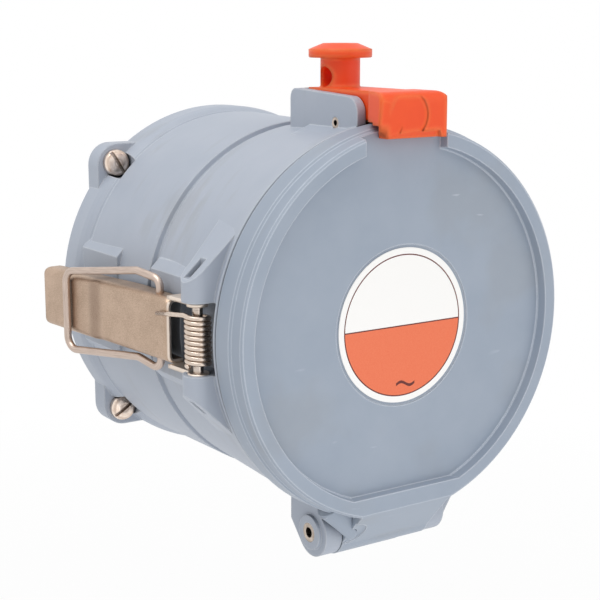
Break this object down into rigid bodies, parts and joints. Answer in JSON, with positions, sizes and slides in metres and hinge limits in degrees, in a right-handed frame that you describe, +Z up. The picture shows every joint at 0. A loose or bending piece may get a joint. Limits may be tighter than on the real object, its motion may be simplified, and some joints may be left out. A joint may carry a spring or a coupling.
{
  "type": "industrial socket outlet",
  "caption": "Round panel-mounted industrial socket outlet with a hinged lid, a sprung locking pawl and wire-bail draw latches.",
  "frame": {"origin": "centre of the mounting face, between the four flange screws", "axes": "+Y out of the mounting face into the panel, so the mouth faces -Y; +Z up towards the pawl; +X to the right seen from the front"},
  "size_m": [0.1946, 0.163, 0.2085],
  "materials": {
    "body": "satin moulded",
    "pawl": "satin moulded",
    "steel": "stainless, lightly worn",
    "wire": "drawn stainless wire",
    "label": "printed film",
    "seal": "matte",
    "insulator": "satin moulded",
    "brass": "turned"
  },
  "bodies": {
    "body": {"housing": "body", "mouth_collar": "body", "flange_screws": "steel", "flange_seal": "seal", "mouth_seal": "seal", "lid_hinge_pin": "steel", "pawl_pin": "steel", "left_lever_pin": "steel", "right_lever_pin": "steel", "insulator_foot": "insulator", "insulator_boss": "insulator", "insulator_screws": "steel", "phase_contact_1": "brass", "phase_contact_2": "brass", "phase_contact_3": "brass", "earth_contact": "brass", "pilot_contact": "brass", "terminal_screws": "steel"},
    "lid": {"lid": "body", "rating_label": "label"},
    "pawl": {"pawl": "pawl", "pawl_spring": "wire"},
    "left_lever": {"left_lever": "steel", "left_lever_spring": "wire"},
    "right_lever": {"right_lever": "steel", "right_lever_spring": "wire"},
    "left_bail": {"left_bail": "wire"},
    "right_bail": {"right_bail": "wire"}
  },
  "joints": [
    {"name": "lid_hinge", "type": "hinge", "parent": "body", "child": "lid", "pos_m": [0, -0.1285, -0.087], "axis": [1, 0, 0], "range_deg": [0, 165]},
    {"name": "pawl_hinge", "type": "hinge", "parent": "body", "child": "pawl", "pos_m": [0, -0.1215, 0.0797], "axis": [-1, 0, 0], "range_deg": [0, 11], "stiffness_Nm_per_rad": 0.06, "springref_deg": -22.92},
    {"name": "left_lever_hinge", "type": "hinge", "parent": "body", "child": "left_lever", "pos_m": [-0.082, -0.1267, 0], "axis": [0, 0, 1], "range_deg": [0, 135], "stiffness_Nm_per_rad": 0.02, "springref_deg": -22.92},
    {"name": "right_lever_hinge", "type": "hinge", "parent": "body", "child": "right_lever", "pos_m": [0.082, -0.1267, 0], "axis": [0, 0, -1], "range_deg": [0, 135], "stiffness_Nm_per_rad": 0.02, "springref_deg": -22.92},
    {"name": "left_bail_hinge", "type": "hinge", "parent": "left_lever", "child": "left_bail", "pos_m": [-0.08199, -0.09656, 0], "axis": [0, 0, -1], "range_deg": [-150, 0]},
    {"name": "right_bail_hinge", "type": "hinge", "parent": "right_lever", "child": "right_bail", "pos_m": [0.08199, -0.09656, 0], "axis": [0, 0, 1], "range_deg": [-150, 0]}
  ]
}
